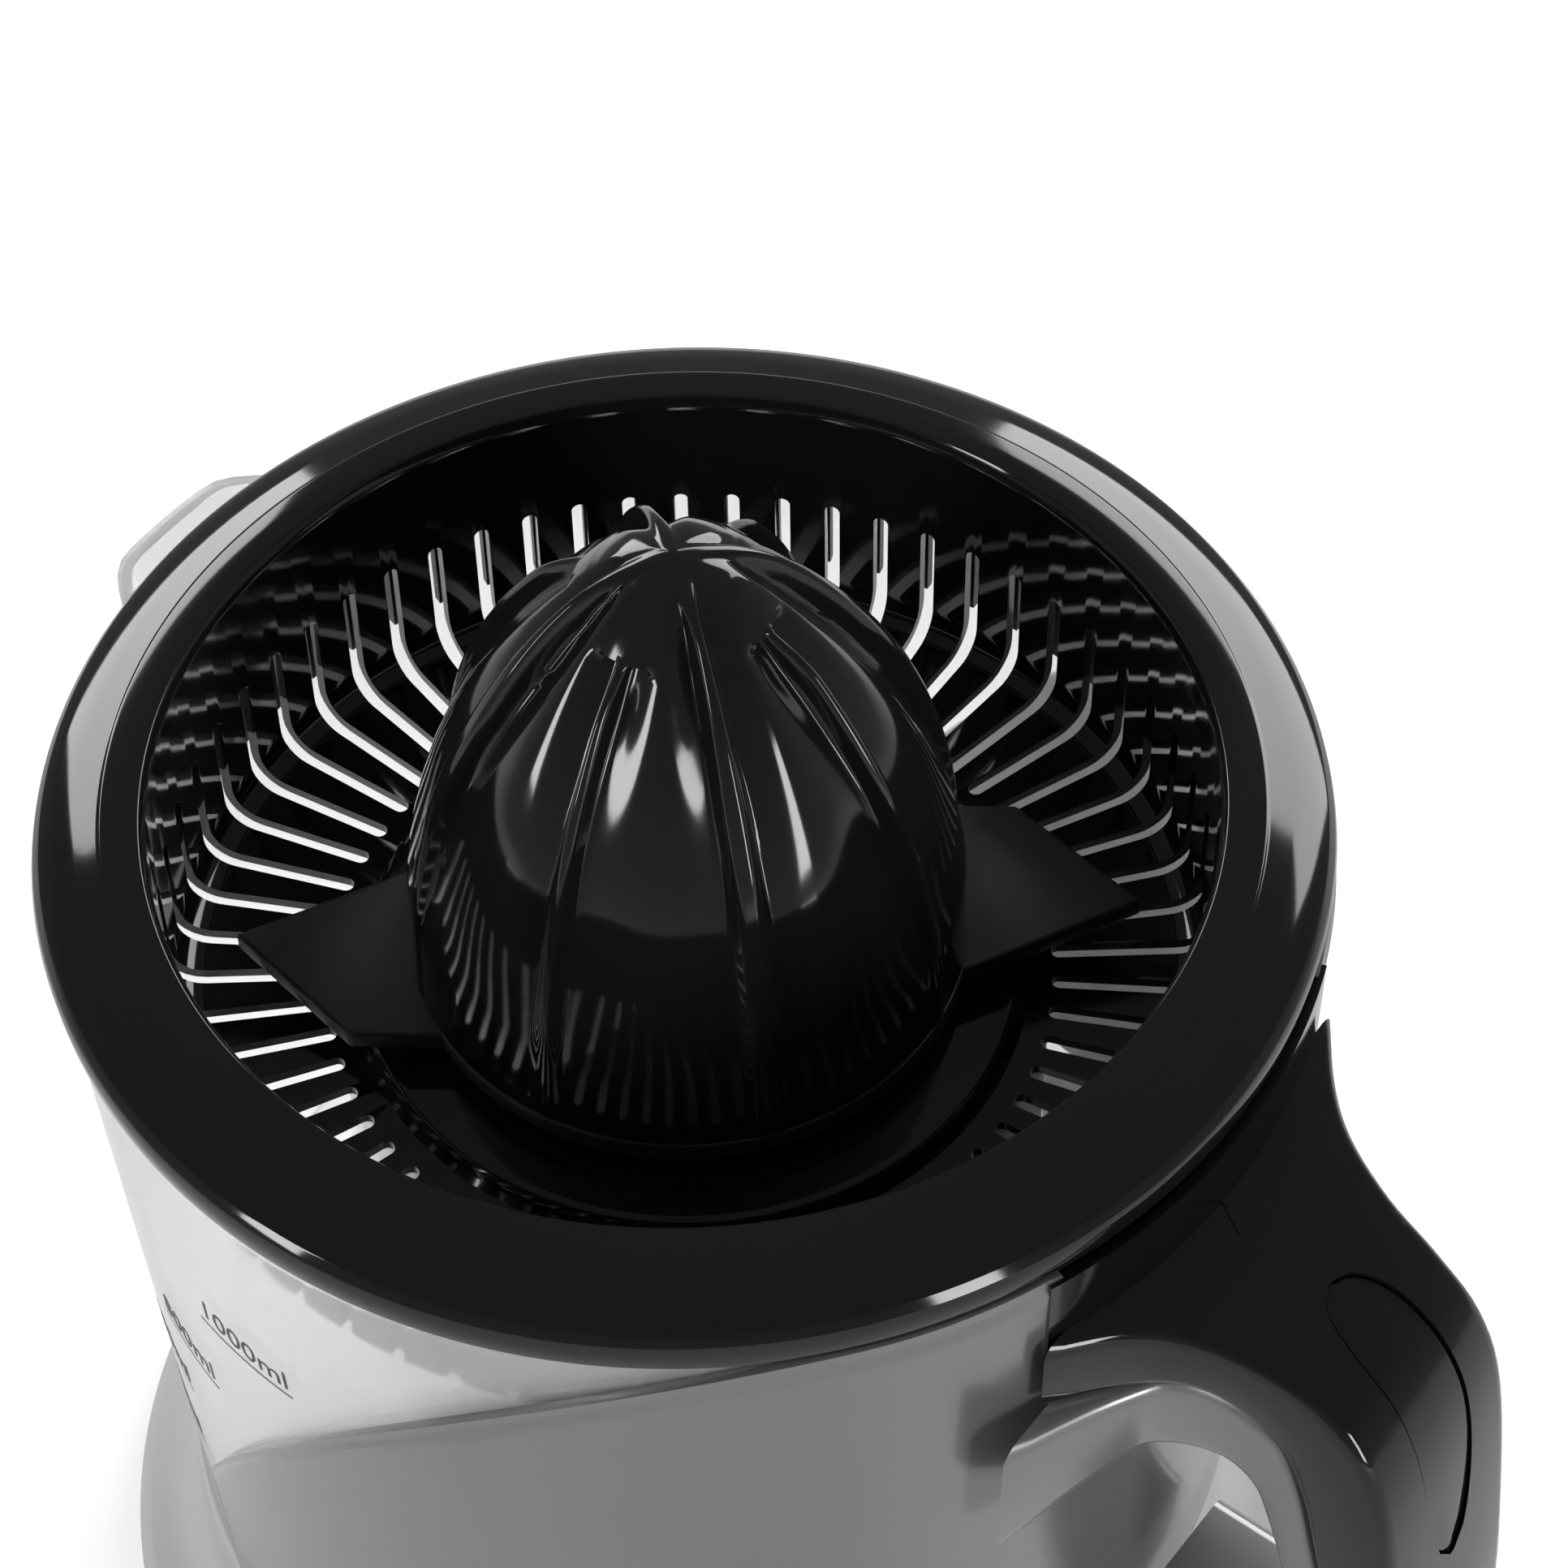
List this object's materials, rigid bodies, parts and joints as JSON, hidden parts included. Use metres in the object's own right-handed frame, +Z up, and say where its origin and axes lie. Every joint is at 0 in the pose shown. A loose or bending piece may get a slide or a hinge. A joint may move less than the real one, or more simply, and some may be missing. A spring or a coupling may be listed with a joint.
{
  "type": "citrus press juicer",
  "caption": "Electric citrus press: fluted cone in a slotted strainer with a funnel ring, on a clear jug with grey shell and handle, over a motor base.",
  "frame": {"origin": "middle of the press's box, on the table surface; the drive axis is upright at X = -0.016 m", "axes": "+X towards the handle, -X towards the spout, +Z up along the drive axis"},
  "size_m": [0.21, 0.176, 0.208],
  "materials": {
    "black_gloss": "polished black plastic",
    "black_matt": "fine matt black plastic",
    "clear": "clear moulded plastic",
    "grey": "silver-grey satin plastic",
    "silver": "pale silver plastic, satin",
    "steel": "plain steel",
    "copper": "copper wire",
    "nylon": "natural nylon",
    "rubber": "soft black rubber"
  },
  "bodies": {
    "base": {"base_housing": "silver", "bottom_cover": "black_matt", "cord_gland": "rubber", "cover_screw_1": "steel", "cover_screw_2": "steel", "cover_screw_3": "steel", "foot_1": "rubber", "foot_2": "rubber", "foot_3": "rubber", "foot_4": "rubber", "gearbox_lid": "steel", "gearbox_plate": "steel", "micro_switch": "black_matt", "motor_frame": "steel", "motor_stator": "steel", "motor_winding": "copper", "ring_gear": "nylon", "shaft_seal": "rubber"},
    "rotor": {"motor_rotor": "steel", "motor_shaft": "steel", "sun_gear": "steel"},
    "output": {"planet_carrier": "nylon", "return_spring": "steel"},
    "planet_1": {"planet_gear_1": "nylon"},
    "planet_2": {"planet_gear_2": "nylon"},
    "planet_3": {"planet_gear_3": "nylon"},
    "shaft": {"drive_shaft": "steel", "shaft_collar": "nylon"},
    "plunger": {"switch_plunger": "nylon"},
    "jug": {"jug_body": "clear", "jug_shell": "grey", "handle_cover": "black_gloss", "handle_inlay": "black_matt", "handle_screw": "steel"},
    "strainer": {"funnel_ring": "black_gloss", "strainer_basket": "black_gloss"},
    "selector": {"pulp_selector": "black_matt"},
    "press_collar": {"seal_collar": "nylon"},
    "small_cone": {"inner_cone": "black_matt"},
    "large_cone": {"large_cone": "black_gloss"}
  },
  "joints": [
    {"name": "output_spin", "type": "hinge", "parent": "base", "child": "output", "pos_m": [-0.016, 0, 0.1], "axis": [0, 0, 1], "continuous": true},
    {"name": "rotor_spin", "type": "hinge", "parent": "base", "child": "rotor", "pos_m": [-0.016, 0, 0.1], "axis": [0, 0, 1], "continuous": true},
    {"name": "planet_1_spin", "type": "hinge", "parent": "output", "child": "planet_1", "pos_m": [-0.001, 0, 0.1], "axis": [0, 0, 1], "continuous": true},
    {"name": "planet_2_spin", "type": "hinge", "parent": "output", "child": "planet_2", "pos_m": [-0.0235, 0.01299, 0.1], "axis": [0, 0, 1], "continuous": true},
    {"name": "planet_3_spin", "type": "hinge", "parent": "output", "child": "planet_3", "pos_m": [-0.0235, -0.01299, 0.1], "axis": [0, 0, 1], "continuous": true},
    {"name": "shaft_press", "type": "slide", "parent": "output", "child": "shaft", "axis": [0, 0, 1], "range_m": [-0.0025, 0], "deforming": ["return_spring"]},
    {"name": "plunger_press", "type": "slide", "parent": "base", "child": "plunger", "axis": [0, 0, 1], "range_m": [-0.0025, 0]},
    {"name": "jug_lift", "type": "slide", "parent": "base", "child": "jug", "axis": [0, 0, 1], "range_m": [0, 0.16]},
    {"name": "strainer_lift", "type": "slide", "parent": "jug", "child": "strainer", "axis": [0, 0, 1], "range_m": [0, 0.07]},
    {"name": "selector_turn", "type": "hinge", "parent": "strainer", "child": "selector", "pos_m": [-0.016, 0, 0.1], "axis": [0, 0, 1], "range_deg": [0, 3]},
    {"name": "cone_press", "type": "slide", "parent": "strainer", "child": "press_collar", "axis": [0, 0, 1], "range_m": [-0.0025, 0], "stiffness_N_per_m": 1500, "springref_m": 0.003},
    {"name": "cone_spin", "type": "hinge", "parent": "press_collar", "child": "small_cone", "pos_m": [-0.016, 0, 0.1], "axis": [0, 0, 1], "continuous": true},
    {"name": "large_cone_lift", "type": "slide", "parent": "small_cone", "child": "large_cone", "axis": [0, 0, 1], "range_m": [0, 0.1]}
  ],
  "couplings": [
    {"joint": "output_spin", "follows": "rotor_spin", "ratio": 0.2},
    {"joint": "planet_1_spin", "follows": "rotor_spin", "ratio": -0.53333},
    {"joint": "planet_2_spin", "follows": "rotor_spin", "ratio": -0.53333},
    {"joint": "planet_3_spin", "follows": "rotor_spin", "ratio": -0.53333},
    {"joint": "plunger_press", "follows": "cone_press", "ratio": 1},
    {"joint": "shaft_press", "follows": "cone_press", "ratio": 1},
    {"joint": "cone_spin", "follows": "rotor_spin", "ratio": 0.2}
  ]
}
